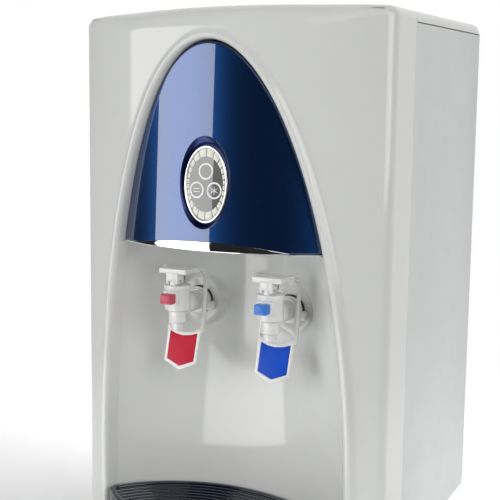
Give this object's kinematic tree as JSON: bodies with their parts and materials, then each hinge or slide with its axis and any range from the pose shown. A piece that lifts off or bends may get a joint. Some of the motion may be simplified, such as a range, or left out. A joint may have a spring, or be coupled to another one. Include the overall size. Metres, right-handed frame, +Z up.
{
  "type": "countertop water dispenser",
  "caption": "Countertop hot and cold water dispenser: bowed white front, arched niche with two push taps under a domed cover, pull-out drip tray, bottle seat on top.",
  "frame": {"origin": "on the table under the middle of the object's overall box", "axes": "+Z up, front with the taps and drip tray towards -Y, +X towards the cold tap"},
  "size_m": [0.3, 0.372, 0.505],
  "materials": {
    "white_shell": "glossy moulded",
    "white_steel": "satin powder coat",
    "rear_steel": "matt powder coat",
    "pan_steel": "zinc coated",
    "foot_rubber": "matt",
    "dome_blue": "metallic under clear coat",
    "chrome_trim": "polished",
    "recess_navy": "glossy",
    "ring_silver": "polished",
    "face_grey": "satin silver",
    "segment_cream": "translucent",
    "mark_white": "printed, glossy",
    "board_green": "solder mask",
    "tap_white": "glossy moulded",
    "patch_red": "glossy",
    "patch_blue": "glossy",
    "button_red": "satin",
    "button_blue": "satin",
    "pin_steel": "bright",
    "seal_rubber": "matt",
    "valve_silicone": "satin",
    "nut_brass": "machined",
    "tray_navy": "glossy moulded",
    "seat_white": "glossy moulded",
    "tank_steel": "bright",
    "tank_plastic": "satin",
    "foam_white": "beaded foam",
    "jacket_foil": "foil faced",
    "copper_tube": "drawn tube",
    "heater_metal": "dull",
    "black_plastic": "fine grain",
    "black_paint": "satin",
    "switch_red": "translucent",
    "switch_green": "translucent",
    "tube_silicone": "translucent"
  },
  "bodies": {
    "housing": {"base_pan": "pan_steel", "feet": "foot_rubber", "front_panel": "white_shell", "side_panel_left": "white_steel", "side_panel_right": "white_steel", "top_cover": "white_shell", "rear_panel": "rear_steel", "dome_cover": "dome_blue", "dome_trim": "chrome_trim", "display_housing": "recess_navy", "display_ring": "ring_silver", "display_face": "face_grey", "display_segments": "segment_cream", "lamp_marks": "mark_white", "display_board": "board_green", "hot_tap_body": "tap_white", "hot_tap_nut": "tap_white", "hot_tap_gasket": "seal_rubber", "hot_lever_pin": "pin_steel", "hot_valve_spring": "pin_steel", "cold_tap_body": "tap_white", "cold_tap_nut": "tap_white", "cold_tap_gasket": "seal_rubber", "cold_lever_pin": "pin_steel", "cold_valve_spring": "pin_steel", "tap_back_nuts": "nut_brass", "cold_tank": "tank_steel", "cold_tank_lid": "tank_plastic", "cold_baffle": "tank_plastic", "cold_jacket": "foam_white", "evaporator_coil": "copper_tube", "hot_tank": "tank_steel", "hot_jacket": "jacket_foil", "heater_band": "heater_metal", "thermostats": "black_plastic", "compressor": "black_paint", "compressor_mounts": "foot_rubber", "condenser": "black_paint", "refrigerant_lines": "copper_tube", "control_board": "board_green", "water_tubes": "tube_silicone", "mains_inlet": "black_plastic", "switch_frame": "black_plastic", "drain_port": "tank_plastic", "drain_cap": "black_plastic", "screws": "pin_steel"},
    "hot_lever": {"hot_lever": "tap_white", "hot_paddle_patch": "patch_red"},
    "hot_button": {"hot_button": "button_red"},
    "hot_stem": {"hot_valve_stem": "valve_silicone"},
    "cold_lever": {"cold_lever": "tap_white", "cold_paddle_patch": "patch_blue"},
    "cold_button": {"cold_button": "button_blue"},
    "cold_stem": {"cold_valve_stem": "valve_silicone"},
    "drip_basin": {"drip_basin": "tray_navy"},
    "drip_grille": {"drip_grille": "tray_navy"},
    "bottle_seat": {"bottle_seat": "seat_white"},
    "hot_switch": {"hot_switch": "switch_red"},
    "cold_switch": {"cold_switch": "switch_green"}
  },
  "joints": [
    {"name": "hot_lever_turn", "type": "hinge", "parent": "housing", "child": "hot_lever", "pos_m": [-0.0465, -0.129, 0.2575], "axis": [1, 0, 0], "range_deg": [0, 12], "stiffness_Nm_per_rad": 0.9, "springref_deg": -11.46},
    {"name": "hot_stem_lift", "type": "slide", "parent": "housing", "child": "hot_stem", "axis": [0, 0, 1], "range_m": [0, 0.0013], "stiffness_N_per_m": 0.02, "springref_m": 0.6737, "deforming": ["hot_valve_spring"]},
    {"name": "hot_button_press", "type": "slide", "parent": "housing", "child": "hot_button", "axis": [0, 1, 0], "range_m": [0, 0.0025], "stiffness_N_per_m": 400},
    {"name": "cold_lever_turn", "type": "hinge", "parent": "housing", "child": "cold_lever", "pos_m": [0.0465, -0.129, 0.2575], "axis": [1, 0, 0], "range_deg": [0, 12], "stiffness_Nm_per_rad": 0.9, "springref_deg": -11.46},
    {"name": "cold_stem_lift", "type": "slide", "parent": "housing", "child": "cold_stem", "axis": [0, 0, 1], "range_m": [0, 0.0013], "stiffness_N_per_m": 0.02, "springref_m": 0.6737, "deforming": ["cold_valve_spring"]},
    {"name": "cold_button_press", "type": "slide", "parent": "housing", "child": "cold_button", "axis": [0, 1, 0], "range_m": [0, 0.0025], "stiffness_N_per_m": 400},
    {"name": "tray_slide", "type": "slide", "parent": "housing", "child": "drip_basin", "axis": [0, -1, 0], "range_m": [0, 0.12]},
    {"name": "grille_lift", "type": "slide", "parent": "drip_basin", "child": "drip_grille", "axis": [0, 0, 1], "range_m": [0, 0.03]},
    {"name": "seat_lift", "type": "slide", "parent": "housing", "child": "bottle_seat", "axis": [0, 0, 1], "range_m": [0, 0.06]},
    {"name": "hot_switch_rock", "type": "hinge", "parent": "housing", "child": "hot_switch", "pos_m": [-0.072, 0.159, 0.062], "axis": [1, 0, 0], "range_deg": [0, 20]},
    {"name": "cold_switch_rock", "type": "hinge", "parent": "housing", "child": "cold_switch", "pos_m": [-0.05, 0.159, 0.062], "axis": [1, 0, 0], "range_deg": [0, 20]}
  ],
  "couplings": [
    {"joint": "hot_stem_lift", "follows": "hot_lever_turn", "m_per_rad": 0.006},
    {"joint": "cold_stem_lift", "follows": "cold_lever_turn", "m_per_rad": 0.006}
  ]
}
